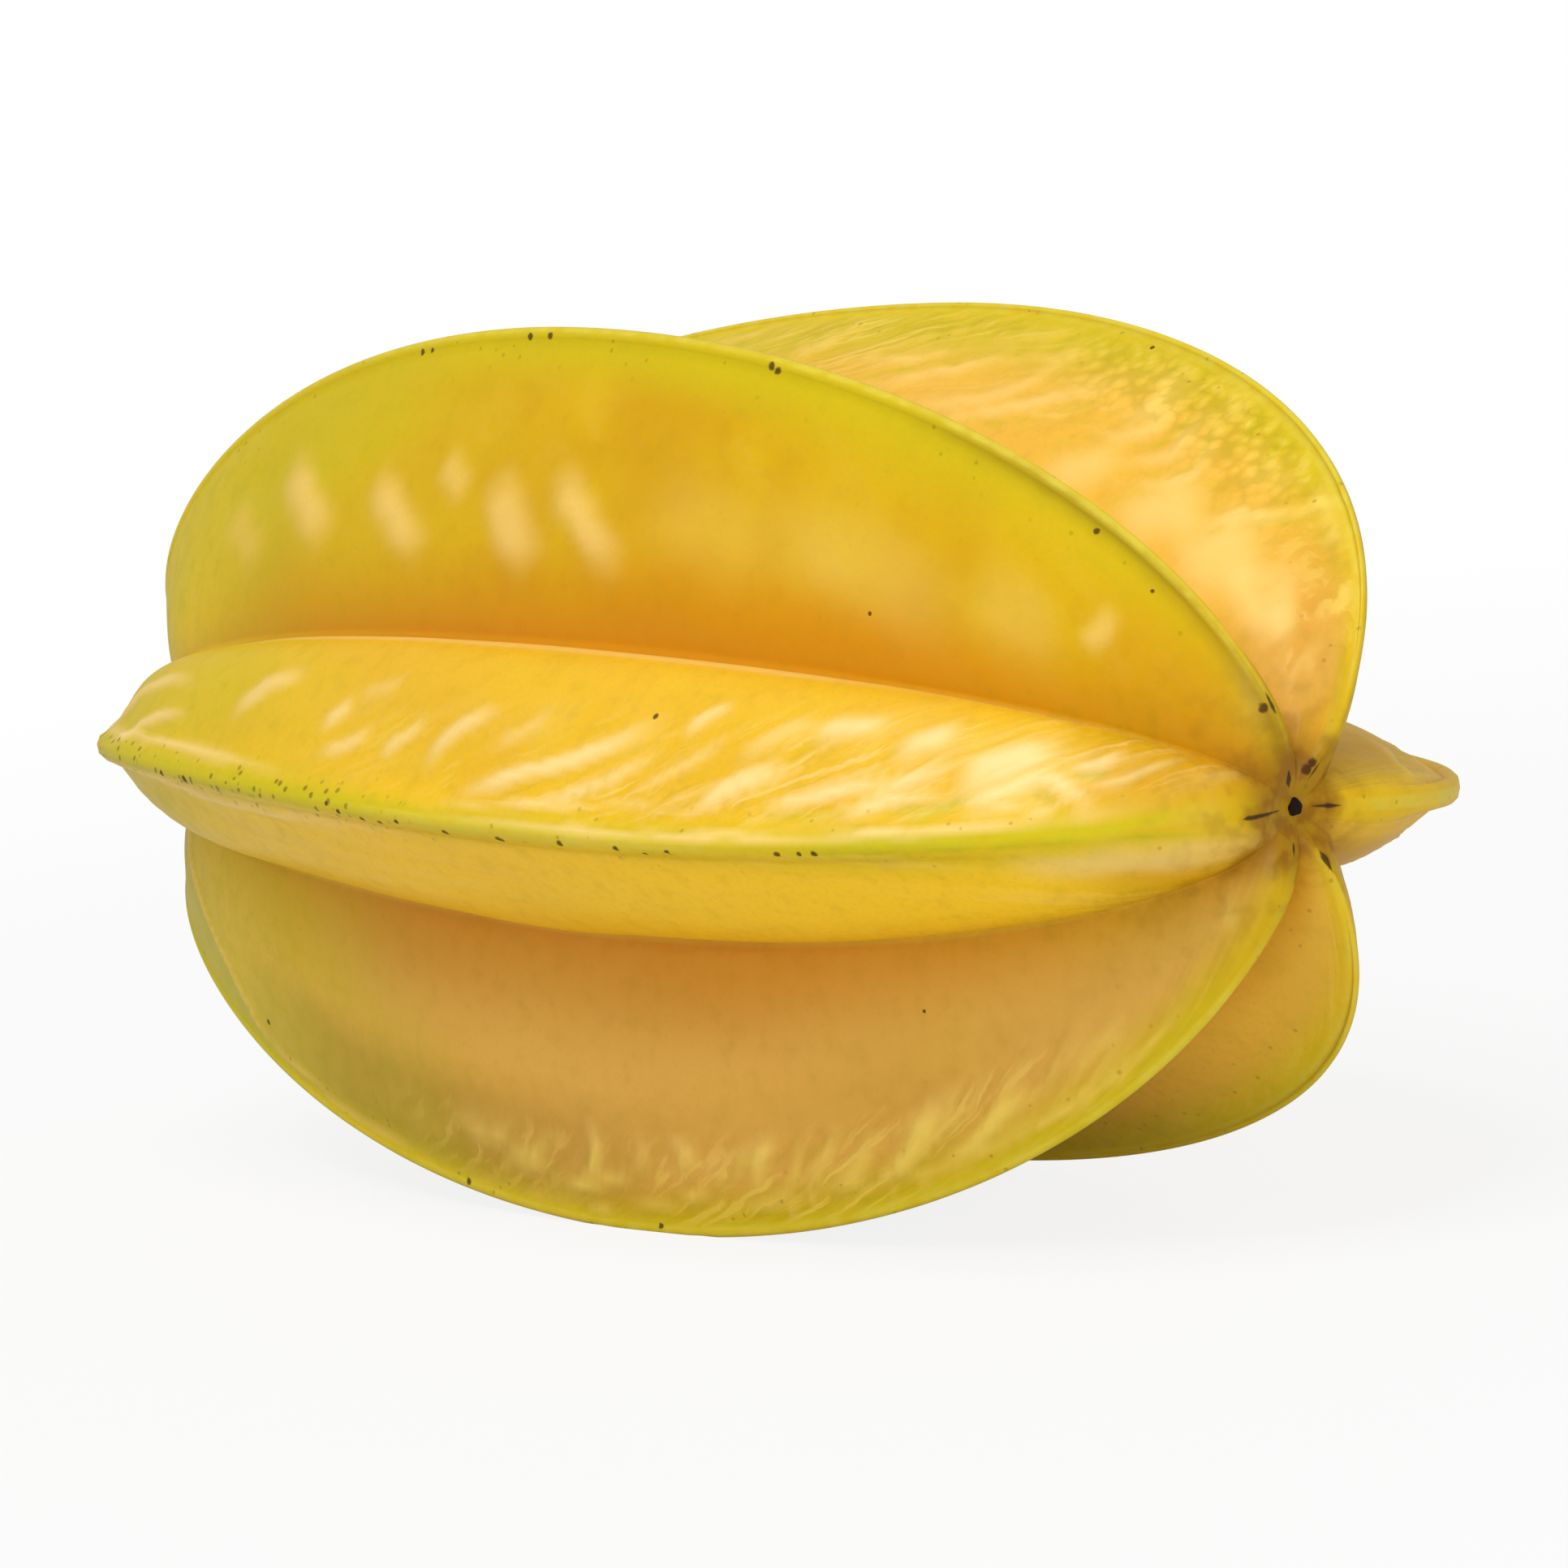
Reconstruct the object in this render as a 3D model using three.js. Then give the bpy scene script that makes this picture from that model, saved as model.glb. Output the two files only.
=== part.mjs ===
// Star fruit (carambola) with six ribs, as picked, lying on two of its ribs.
//
// Millimetres. +X runs along the fruit's axis to the blossom end and +Z is up.
// The origin is on the surface that the fruit lies on, under the middle of its box.
//
// The skin is one closed surface. Lengthwise it is a set of meridian curves, one on each rib's
// crest and one in each groove. Crosswise every rib is a wedge with a small rounded bead along
// its crest, and its two flanks run down from there to the grooves beside it.

import * as THREE from 'three';

// ---- driving dimensions ----

const HALF_LENGTH = 62.5; // middle of the fruit to where the skin would close with no pit or dimple
const POLE_RADIUS = 1.2; // ring round each end where all the ribs meet

// Each rib: toward, the way it points, in degrees round the axis from +Y to +Z; height, axis to
// crest; peak, the X of its highest point; blossom and stem, how its outline falls to each end
// (1 is half an ellipse, less is fuller); twist and bow, the degrees it turns along its length,
// straight and curved; groove, the radius of the groove between it and the next rib; lean and
// sag, the degrees by which that groove leaves the middle between the two, to one side and the
// other and to one side all along; swell, how much its flanks swell near their grooves (1 is
// flat); neck, how thin it stays under its crest (1 widens evenly); edge, half the width of the
// rounded edge along its crest.
const RIBS = [
  {
    toward: -112.8, height: 34.3, peak: 4.2, blossom: 1.18, stem: 1.12, twist: 3.1, bow: 1,
    groove: 17, lean: 0, sag: 0, swell: 1.5, neck: 1, edge: 0.5,
  },
  {
    toward: -66.1, height: 34.3, peak: -0.5, blossom: 0.7, stem: 0.72, twist: -4, bow: 0,
    groove: 19, lean: 0, sag: 0, swell: 1.6, neck: 1, edge: 0.5,
  },
  {
    toward: -6.2, height: 39.3, peak: 4, blossom: 0.8, stem: 0.72, twist: -1.1, bow: -0.9,
    groove: 17, lean: 0, sag: 0, swell: 3.6, neck: 1.5, edge: 0.95,
  },
  {
    toward: 51, height: 40, peak: 4.3, blossom: 0.77, stem: 0.7, twist: 2.4, bow: 0,
    groove: 17, lean: 0, sag: 0, swell: 1.6, neck: 1, edge: 0.55,
  },
  {
    toward: 103, height: 34.8, peak: -1.7, blossom: 0.88, stem: 1.02, twist: 2.3, bow: 1,
    groove: 19.8, lean: 0, sag: 1.8, swell: 1.5, neck: 1, edge: 0.5,
  },
  {
    toward: 175.4, height: 26.9, peak: 10.5, blossom: 1.12, stem: 0.86, twist: 4.9, bow: -2.4,
    groove: 16.6, lean: 3, sag: 0, swell: 2.6, neck: 1.4, edge: 0.95,
  },
];

const GROOVE_BLOSSOM = 1.11; // how a groove's own curve falls to the blossom end
const GROOVE_STEM = 1.08; // and to the stem end

const STEM_PIT = { depth: 9, width: 9 }; // hollow that the stalk came out of
const BLOSSOM_DIMPLE = { depth: 2, width: 4 }; // small hollow round the dried style

const EDGE_ROUND = 0.9; // how tall the bead along a crest is over its width
const EDGE_SQUARENESS = 2.4; // 2 rounds that bead like an ellipse, more squares its shoulders
const EDGE_FADE = 5; // rib depth at which the bead reaches most of its width
const BEAD_LEAST = 0.02; // half width that it never falls below
const EDGE_END = { from: 3, to: 16 }; // crest radii where it is gone and whole, blossom side
const PILLOW_NECK = 0.62; // neck of every rib at the blossom end, where ribs are round pillows
const PILLOW_END = { from: 5, to: 20 }; // crest radii where a rib is a pillow and is itself

const REST_FLAT = 0.25; // how far a crest is pressed flat where the fruit lies on it

// ---- how finely the skin is cut ----

const ROWS = 52; // steps from the blossom end to the stem end
const EDGE_STEPS = 3; // steps round each side of a crest's bead
const FLANK_STEPS = 5; // steps down each flank

// ---- lengthwise curves ----

const toRadians = (degrees) => (degrees * Math.PI) / 180;

// A dimple's depth at a radius from the axis, a smooth bell.
const dimple = (shape, radius) => shape.depth * Math.exp(-((radius / shape.width) ** 2));

// A point of a meridian curve. along runs from 0 at the blossom end to PI at the stem end, on
// an ellipse about peak whose radius is raised to the fullness of the end that it is nearer.
function meridian(along, height, peak, blossom, stem) {
  const towardBlossom = Math.cos(along) >= 0;
  const reach = towardBlossom ? HALF_LENGTH - peak : HALF_LENGTH + peak;
  const fullness = towardBlossom ? blossom : stem;
  const radius = POLE_RADIUS + (height - POLE_RADIUS) * Math.max(Math.sin(along), 0) ** fullness;
  const inward = towardBlossom ? -dimple(BLOSSOM_DIMPLE, radius) : dimple(STEM_PIT, radius);
  return { x: peak + reach * Math.cos(along) + inward, radius };
}

// A rib's direction round the axis, in radians, which drifts a little along its length.
function ribAngle(rib, along) {
  return toRadians(rib.toward + rib.twist * Math.cos(along) + rib.bow * Math.cos(2 * along));
}

// How far the groove after a rib leaves the middle between the rib and the next, in radians.
function grooveShift(rib, along) {
  return toRadians(rib.lean * Math.sin(2 * along) + rib.sag * Math.sin(along) ** 2);
}

// ---- crosswise shape of a rib ----

// How much of its full self a rib is where its crest has a radius: from 0 to 1 over the span at
// the blossom end, and always 1 on the stem side.
function grown(span, crestRadius, along) {
  return Math.cos(along) > 0 ? THREE.MathUtils.smoothstep(crestRadius, span.from, span.to) : 1;
}

// A rib's sizes across the fruit at one place along it.
function crossSection(along, rib, halfGap, grooveRadius) {
  const crest = meridian(along, rib.height, rib.peak, rib.blossom, rib.stem);
  const groove = meridian(along, grooveRadius, 0, GROOVE_BLOSSOM, GROOVE_STEM);
  const fullDepth = crest.radius - groove.radius * Math.cos(halfGap);
  const whole = grown(EDGE_END, crest.radius, along) * (1 - Math.exp(-fullDepth / EDGE_FADE));
  const own = grown(PILLOW_END, crest.radius, along);
  return {
    crest,
    groove,
    fullDepth,
    halfGroove: groove.radius * Math.sin(halfGap),
    bead: rib.edge * whole + BEAD_LEAST,
    beadHeight: Math.min(EDGE_ROUND * rib.edge, fullDepth / 4),
    neck: PILLOW_NECK + (rib.neck - PILLOW_NECK) * own,
    swell: rib.swell,
  };
}

// Half the rib's width at a depth below its crest, from 0 on the crest to halfGroove in the
// groove. A bead that rounds the crest runs smoothly into a flank that stays thin under the
// bead and then swells.
function halfWidth(section, depth) {
  const { fullDepth, halfGroove, bead, beadHeight, neck, swell } = section;
  const off = Math.abs(1 - Math.min(depth / beadHeight, 2));
  const round = bead * (1 - off ** EDGE_SQUARENESS) ** (1 / EDGE_SQUARENESS);
  const share = Math.min(depth / fullDepth, 1);
  const flank = halfGroove * (1 - (1 - share ** neck) ** swell);
  return Math.hypot(round, flank);
}

// The depths at which a flank is cut, from the crest down: close together round the bead.
function flankDepths(section) {
  const { fullDepth, beadHeight } = section;
  const depths = [];
  for (let i = 0; i <= EDGE_STEPS; i += 1) {
    depths.push(beadHeight * (1 - Math.cos((i / EDGE_STEPS) * Math.PI)));
  }
  const below = 2 * beadHeight;
  for (let i = 1; i <= FLANK_STEPS; i += 1) {
    depths.push(below + (fullDepth - below) * (i / FLANK_STEPS));
  }
  return depths;
}

// One flank's points across the fruit, from the crest to the groove beside it. side is 1 for
// the flank towards the next rib and -1 for the one towards the rib before.
function flankPoints(along, rib, angle, halfGap, grooveRadius, side) {
  const section = crossSection(along, rib, halfGap, grooveRadius);
  const { crest, groove, fullDepth } = section;
  return flankDepths(section).map((depth) => {
    const out = crest.radius - depth;
    const across = side * halfWidth(section, depth);
    return new THREE.Vector3(
      crest.x + (groove.x - crest.x) * Math.min(depth / fullDepth, 1),
      out * Math.cos(angle) - across * Math.sin(angle),
      out * Math.sin(angle) + across * Math.cos(angle),
    );
  });
}

// The closed ring of points across the fruit at one place along it, rib after rib. A groove's
// own point comes once, from the rib before it.
function ringPoints(along) {
  const angles = RIBS.map((rib) => ribAngle(rib, along));
  const turn = 2 * Math.PI;
  return RIBS.flatMap((rib, i) => {
    const before = (i + RIBS.length - 1) % RIBS.length;
    const after = (i + 1) % RIBS.length;
    const gapBefore = (angles[i] - angles[before] + turn) % turn;
    const gapAfter = (angles[after] - angles[i] + turn) % turn;
    const halfBefore = gapBefore / 2 - grooveShift(RIBS[before], along);
    const halfAfter = gapAfter / 2 + grooveShift(rib, along);
    const left = flankPoints(along, rib, angles[i], halfBefore, RIBS[before].groove, -1);
    const right = flankPoints(along, rib, angles[i], halfAfter, rib.groove, 1);
    return [...left.slice(0, -1).reverse(), ...right.slice(1)];
  });
}

// ---- the whole skin ----

// Joins the rings into one closed surface, with a point in the middle of each end.
function skinGeometry() {
  const rings = [];
  for (let row = 0; row <= ROWS; row += 1) {
    rings.push(ringPoints((row / ROWS) * Math.PI));
  }
  const around = rings[0].length;
  const points = rings.flat();
  const blossomPole = points.length;
  const stemPole = points.length + 1;
  points.push(middleOf(rings[0]), middleOf(rings[ROWS]));

  const faces = [];
  for (let j = 0; j < around; j += 1) {
    const next = (j + 1) % around;
    faces.push(blossomPole, j, next);
    for (let row = 0; row < ROWS; row += 1) {
      const near = row * around;
      const far = near + around;
      faces.push(near + j, far + j, far + next);
      faces.push(near + j, far + next, near + next);
    }
    faces.push(stemPole, ROWS * around + next, ROWS * around + j);
  }
  const geometry = new THREE.BufferGeometry().setFromPoints(points);
  geometry.setIndex(faces);
  return geometry;
}

function middleOf(ring) {
  const sum = ring.reduce((total, point) => total.add(point), new THREE.Vector3());
  return sum.divideScalar(ring.length);
}

// Lays the skin on the plane z = 0: it drops until the lowest crest is REST_FLAT under the
// plane, what is under it is pressed flat, and the box is centred over the origin.
function layDown(geometry) {
  geometry.computeBoundingBox();
  const { min, max } = geometry.boundingBox;
  geometry.translate(-(min.x + max.x) / 2, -(min.y + max.y) / 2, -min.z - REST_FLAT);
  const position = geometry.attributes.position;
  for (let i = 0; i < position.count; i += 1) {
    position.setZ(i, Math.max(position.getZ(i), 0));
  }
  return geometry;
}

// ---- the part ----

const skin = new THREE.MeshStandardMaterial({ color: 0xe0b02a, roughness: 0.38, metalness: 0 });
const fruit = new THREE.Mesh(layDown(skinGeometry()), skin);
fruit.name = 'star_fruit';

const group = new THREE.Group();
group.add(fruit);

export default group;
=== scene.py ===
# %% [markdown]
# # A star fruit with six ribs
#
# A star fruit, or carambola, is a long berry. Its flesh grows out in tall ribs that run from the
# stalk to the dried tip of the flower, so a slice across it is a star. Most have five ribs; this
# one has six, and it lies on two of them.
#
# The fruit grew as one piece, so one closed surface is its skin. The size and the place of
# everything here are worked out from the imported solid, which is loaded first.

import math
from collections import namedtuple
from functools import reduce

import bpy
import numpy as np
from mathutils import Matrix, Vector


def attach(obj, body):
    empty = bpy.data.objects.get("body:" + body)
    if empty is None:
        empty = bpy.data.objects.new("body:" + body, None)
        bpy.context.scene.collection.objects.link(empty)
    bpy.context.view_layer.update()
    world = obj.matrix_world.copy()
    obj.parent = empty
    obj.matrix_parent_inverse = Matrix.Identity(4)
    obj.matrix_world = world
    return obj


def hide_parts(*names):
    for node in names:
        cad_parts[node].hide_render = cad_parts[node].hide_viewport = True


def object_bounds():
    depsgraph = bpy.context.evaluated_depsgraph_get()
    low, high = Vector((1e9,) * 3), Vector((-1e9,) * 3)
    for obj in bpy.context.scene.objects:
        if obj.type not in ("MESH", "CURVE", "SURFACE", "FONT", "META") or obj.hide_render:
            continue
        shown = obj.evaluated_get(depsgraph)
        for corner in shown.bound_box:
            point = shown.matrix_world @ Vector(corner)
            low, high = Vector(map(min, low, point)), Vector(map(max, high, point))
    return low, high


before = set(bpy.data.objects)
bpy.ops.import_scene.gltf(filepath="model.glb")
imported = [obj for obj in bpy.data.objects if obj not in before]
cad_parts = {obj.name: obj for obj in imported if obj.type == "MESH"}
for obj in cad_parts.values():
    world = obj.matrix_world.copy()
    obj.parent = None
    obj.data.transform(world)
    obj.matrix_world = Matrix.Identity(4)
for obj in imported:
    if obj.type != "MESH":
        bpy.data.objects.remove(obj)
cad_low, cad_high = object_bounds()
middle = (cad_low + cad_high) / 2
MM = 0.001
print("the solid measures", [round(side / MM, 1) for side in cad_high - cad_low], "mm")

# %% [markdown]
# ## The camera
#
# A long lens from half a metre away keeps the far ribs nearly as large as the near ones. The
# camera looks past the blossom end at the side of the fruit, a little from above, and is tilted a
# few degrees. Its place is given as two angles and a distance from the middle of the fruit,
# because those are easy to compare with another view and to change one at a time.

# %% Place the camera
CAMERA_AZIMUTH = math.radians(48.1)
CAMERA_ELEVATION = math.radians(8.8)
CAMERA_TILT = math.radians(-6.2)
CAMERA_OFFSET = (1.3 * MM, -3.4 * MM, 603.1 * MM)  # to its own right, up and back
CAMERA_LENS = 187.3


def camera_axes(azimuth, elevation, tilt):
    """The camera's right, up and back directions. Tilt turns right and up about back."""
    back = Vector((
        math.sin(azimuth) * math.cos(elevation),
        -math.cos(azimuth) * math.cos(elevation),
        math.sin(elevation),
    ))
    level = Vector((math.cos(azimuth), math.sin(azimuth), 0.0))
    right = level * math.cos(tilt) + back.cross(level) * math.sin(tilt)
    return right, back.cross(right), back


axes = Matrix(camera_axes(CAMERA_AZIMUTH, CAMERA_ELEVATION, CAMERA_TILT)).transposed()
camera = bpy.data.objects.new("camera", bpy.data.cameras.new("camera"))
bpy.context.collection.objects.link(camera)
bpy.context.scene.camera = camera
camera.matrix_world = Matrix.Translation(middle + axes @ Vector(CAMERA_OFFSET)) @ axes.to_4x4()
camera.data.sensor_width = 36.0
camera.data.lens = CAMERA_LENS
camera.data.clip_start = 0.01
camera.data.clip_end = 50.0
print("camera at", [round(value, 3) for value in camera.matrix_world.translation])

# %% [markdown]
# ## The ribs
#
# Each rib has its own height, direction and outline, because no two grow alike. `toward` is the
# way it points, in degrees round the axis from +Y to +Z. Its crest is an ellipse about `peak`
# whose radius is raised to a fullness at each end: 1 is half an ellipse, and less is fuller.
# `twist` and `bow` turn it along its length, straight and curved. `groove` is the radius of the
# groove between it and the next rib, and `lean` and `sag` are degrees by which that groove leaves
# the middle between the two. `swell` is how much the flanks bulge near their grooves, and `neck`
# is how thin they stay under the crest, whose rounded edge is `edge` millimetres to each side.
# `puff` is how much plumper a rib is near the stalk end.
#
# The flower's scar and the stalk's pit are two bell-shaped hollows. Close to the scar every rib
# loses its edge and shrinks to a round pillow.

# %% The six ribs and the hollows at the ends, in millimetres
Rib = namedtuple("Rib", (
    "name toward height peak blossom stem twist bow groove swell neck edge lean sag puff"
))
RIBS = (
    Rib("lower_front", -112.8, 34.3, 4.2, 1.18, 1.12, 3.1, 1.0, 17, 1.5, 1.0, 0.32, 0, 0, 0),
    Rib("lower_back", -66.1, 34.3, -0.5, 0.7, 0.72, -4, 0, 19, 1.6, 1.0, 0.3, 0, 0, 0),
    Rib("back", -6.2, 39.3, 4, 0.8, 0.72, -1.1, -0.9, 17, 3.6, 1.5, 0.95, 0, 0, 0),
    Rib("upper_back", 51, 40, 4.3, 0.77, 0.7, 2.4, 0, 17, 1.6, 1.0, 0.3, 0, 0, 0),
    Rib("upper_front", 103, 34.8, -1.7, 0.88, 1.02, 2.3, 1, 19.8, 1.5, 1.0, 0.38, 0, 1.8, 0),
    Rib("front", 175.4, 26.9, 10.5, 1.12, 0.86, 4.9, -2.4, 16.6, 2.3, 1.3, 0.8, 3, 0, 0.8),
)
LOWER_FRONT, LOWER_BACK, BACK, UPPER_BACK, UPPER_FRONT, FRONT = range(6)
HALF_LENGTH = 62.5
POLE_RADIUS = 1.2
GROOVE_BLOSSOM, GROOVE_STEM = 1.11, 1.08
PIT_DEPTH, PIT_WIDTH = 9.0, 9.0
DIMPLE_DEPTH, DIMPLE_WIDTH = 2.0, 4.0
EDGE_ROUND = 0.9  # how tall the rounded edge is over its width
EDGE_FADE = 5.0  # rib depth at which the edge reaches most of its width
EDGE_SQUARENESS = 2.4  # 2 rounds the edge like an ellipse, and more squares its shoulders
EDGE_LEAST = 0.02
EDGE_END = 3, 16  # crest radii where the edge is gone and whole, on the blossom side
PILLOW_END = 5, 20  # crest radii where a rib is a pillow and is itself
PILLOW_NECK = 0.62
PUFF_END = 7, 25  # crest radii where the puff is whole and gone, on the stalk side
print(len(RIBS), "ribs:", ", ".join(rib.name for rib in RIBS))


# %% Lengthwise curves
def fade(low, high, value):
    """0 below low, 1 above high, and 3 t^2 - 2 t^3 in between, where t is the way across."""
    t = np.clip((value - low) / (high - low), 0, 1)
    return t * t * (3 - 2 * t)


def meridian(along, height, peak, blossom, stem):
    """x and radius of a lengthwise curve; along is 0 at the blossom end and pi at the stem end.

    x is peak + reach * cos(along), with a bell-shaped hollow at each end, and
    radius is pole + (height - pole) * sin(along) ** fullness.
    """
    cosine = np.cos(along)
    sine = np.maximum(np.sin(along), 0)
    to_blossom = cosine >= 0
    reach = np.where(to_blossom, HALF_LENGTH - peak, HALF_LENGTH + peak)
    radius = POLE_RADIUS + (height - POLE_RADIUS) * sine ** np.where(to_blossom, blossom, stem)
    pit = PIT_DEPTH * np.exp(-((radius / PIT_WIDTH) ** 2))
    dimple = DIMPLE_DEPTH * np.exp(-((radius / DIMPLE_WIDTH) ** 2))
    return peak + reach * cosine + np.where(to_blossom, -dimple, pit), radius


def rib_angle(rib, along):
    """The rib's direction: toward + twist * cos(along) + bow * cos(2 * along), in radians."""
    return np.radians(rib.toward + rib.twist * np.cos(along) + rib.bow * np.cos(2 * along))


def groove_shift(rib, along):
    """How far a rib's groove leaves the middle: lean * sin(2 * along) + sag * sin(along) ** 2."""
    return np.radians(rib.lean * np.sin(2 * along) + rib.sag * np.sin(along) ** 2)


# %% [markdown]
# ## The grid
#
# The skin is a grid: rows run round the fruit and columns run along it. The rows are closer in
# the middle than even steps of `along` would put them, and the columns are close round each blunt
# rib edge. Every grid point keeps what the later steps need. The most useful fact is `run`, the
# distance from the crest across the flank, because markings on the real skin follow it.
#
# `share` is the depth below the crest over the whole depth, so it is 0 on a crest and 1 in a
# groove, and `across` is half the rib's width there.

# %% Lay out the grid
ROWS = 236
EDGE_COLUMNS = 5
FLANK_COLUMNS = 28
ROW_CLOSENESS = 0.3

step = np.linspace(0, 1, ROWS + 1)
along = (np.pi * step + ROW_CLOSENESS / 2 * np.sin(2 * np.pi * step))[:, None]
column = np.arange(EDGE_COLUMNS + FLANK_COLUMNS + 1)
edge_share = np.minimum(column / EDGE_COLUMNS, 1)
flank_share = np.maximum(column - EDGE_COLUMNS, 0) / FLANK_COLUMNS
print(ROWS, "rows and", 2 * (EDGE_COLUMNS + FLANK_COLUMNS) * len(RIBS), "columns")


# %% One flank, and all of them together
def flank(index, side):
    """One flank's points and facts, crest first; side is 1 towards the next rib, else -1.

    Half the rib's width at a depth below the crest joins two shapes as the sides of a right
    triangle make its longest side. One is a bead that rounds the crest. The other,
    widest * (1 - (1 - share ** neck) ** swell), stays thin under the bead and then swells.
    """
    rib = RIBS[index]
    other = RIBS[(index + side) % len(RIBS)]
    grooved = rib if side > 0 else other
    angle = rib_angle(rib, along)
    half_gap = (side * (rib_angle(other, along) - angle)) % (2 * np.pi) / 2
    half_gap = half_gap + side * groove_shift(grooved, along)
    crest_x, crest_radius = meridian(along, rib.height, rib.peak, rib.blossom, rib.stem)
    groove_x, groove_radius = meridian(along, grooved.groove, 0, GROOVE_BLOSSOM, GROOVE_STEM)
    full = crest_radius - groove_radius * np.cos(half_gap)
    on_blossom_side = np.cos(along) > 0
    edge_grown = np.where(on_blossom_side, fade(*EDGE_END, crest_radius), 1)
    rib_grown = np.where(on_blossom_side, fade(*PILLOW_END, crest_radius), 1)
    puff = 1 + rib.puff * np.where(on_blossom_side, 0, 1 - fade(*PUFF_END, crest_radius))
    edge = rib.edge * puff * (1 - np.exp(-full / EDGE_FADE)) * edge_grown + EDGE_LEAST
    rounding = np.minimum(EDGE_ROUND * rib.edge * puff, full / 4)
    depth = rounding * (1 - np.cos(edge_share * np.pi)) + (full - 2 * rounding) * flank_share
    share = np.minimum(depth / full, 1)
    above = np.abs(1 - np.minimum(depth / rounding, 2))
    bead = edge * np.maximum(1 - above ** EDGE_SQUARENESS, 0) ** (1 / EDGE_SQUARENESS)
    neck = (PILLOW_NECK + (rib.neck - PILLOW_NECK) * rib_grown) * puff
    swell = rib.swell * puff ** 2
    widest = groove_radius * np.sin(half_gap)
    across = side * np.hypot(bead, widest * (1 - (1 - share ** neck) ** swell))
    out = crest_radius - depth
    return {
        "x": crest_x + (groove_x - crest_x) * share,
        "y": out * np.cos(angle) - across * np.sin(angle),
        "z": out * np.sin(angle) + across * np.cos(angle),
        "run": np.hypot(depth, across),
        "share": share,
        "across": np.abs(across),
        "radius": out,
        "crest_radius": crest_radius + 0 * depth,
        "rib": np.full_like(depth, index),
        "side": np.full_like(depth, side),
    }


def whole_skin():
    """All flanks side by side as one grid per fact; each crest and groove comes once."""
    columns = []
    for index in range(len(RIBS)):
        before = flank(index, -1)
        after = flank(index, 1)
        columns.append({key: before[key][:, :-1][:, ::-1] for key in before})
        columns.append({key: after[key][:, 1:] for key in after})
    return {key: np.concatenate([part[key] for part in columns], axis=1) for key in columns[0]}


skin = whole_skin()
flank_is = {
    (index, side): (skin["rib"] == index) & (skin["side"] == side)
    for index in range(len(RIBS)) for side in (-1, 1)
}
print("grid of", skin["x"].shape, "points")

# %% [markdown]
# ## Ripples and swellings
#
# The skin between crest and groove isn't smooth. Sap vessels under it leave the crest at a slant,
# and the flesh between them swells, so short ridges stand up and catch the light. They could come
# from noise alone, but the largest are what one knows this fruit by, so they are listed. Each is a
# stroke on a flank, from one (x, run) to another, that bows sideways by up to 2.5 mm, and noise
# shakes it a little. A ridge is painted pale, partly as the paler skin stretched over it and partly
# as a painted highlight. A vein is the opposite, a green line that stays level. Finer ridges that
# run the same way come from noise afterwards.

# %% Smooth noise
def noise(u, v, seed):
    """Random heights from -1 to 1 at whole u and v, blended smoothly between them."""
    heights = np.random.default_rng(seed).uniform(-1, 1, (128, 128))
    low_u, low_v = np.floor(u).astype(int), np.floor(v).astype(int)
    part_u, part_v = u - low_u, v - low_v
    part_u = part_u ** 3 * (part_u * (6 * part_u - 15) + 10)
    part_v = part_v ** 3 * (part_v * (6 * part_v - 15) + 10)

    def height(i, j):
        return heights[(low_u + i) % 128, (low_v + j) % 128]

    near = height(0, 0) * (1 - part_u) + height(1, 0) * part_u
    far = height(0, 1) * (1 - part_u) + height(1, 1) * part_u
    return near * (1 - part_v) + far * part_v


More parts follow.
